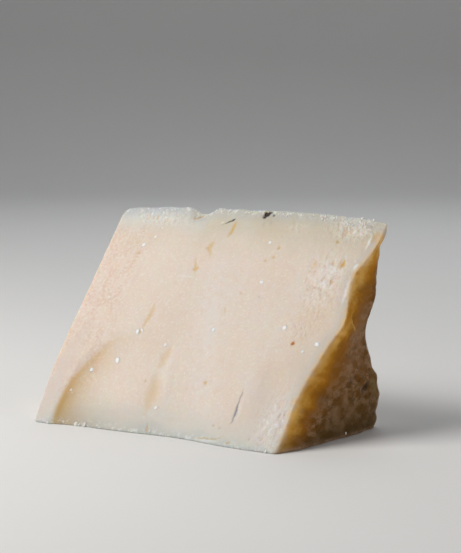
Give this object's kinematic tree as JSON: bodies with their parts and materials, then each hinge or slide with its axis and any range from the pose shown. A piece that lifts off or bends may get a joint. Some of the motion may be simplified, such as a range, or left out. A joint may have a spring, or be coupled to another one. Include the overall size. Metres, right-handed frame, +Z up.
{
  "type": "hard cheese chunk",
  "caption": "Wedge-shaped chunk of pale hard cheese lying on its flat foot, with a sloping cut front, a sharp ridge on top and a brown rind at the right end.",
  "frame": {"origin": "middle of the bounding box, on the surface that the chunk lies on", "axes": "+X along the ridge towards the rind, +Y from the sloping front cut to the upright back cut, +Z up"},
  "size_m": [0.115, 0.062, 0.0748],
  "materials": {
    "cheese": "waxy satin cut faces, dull mottled rind"
  },
  "bodies": {
    "root": {"chunk": "cheese"}
  },
  "joints": []
}
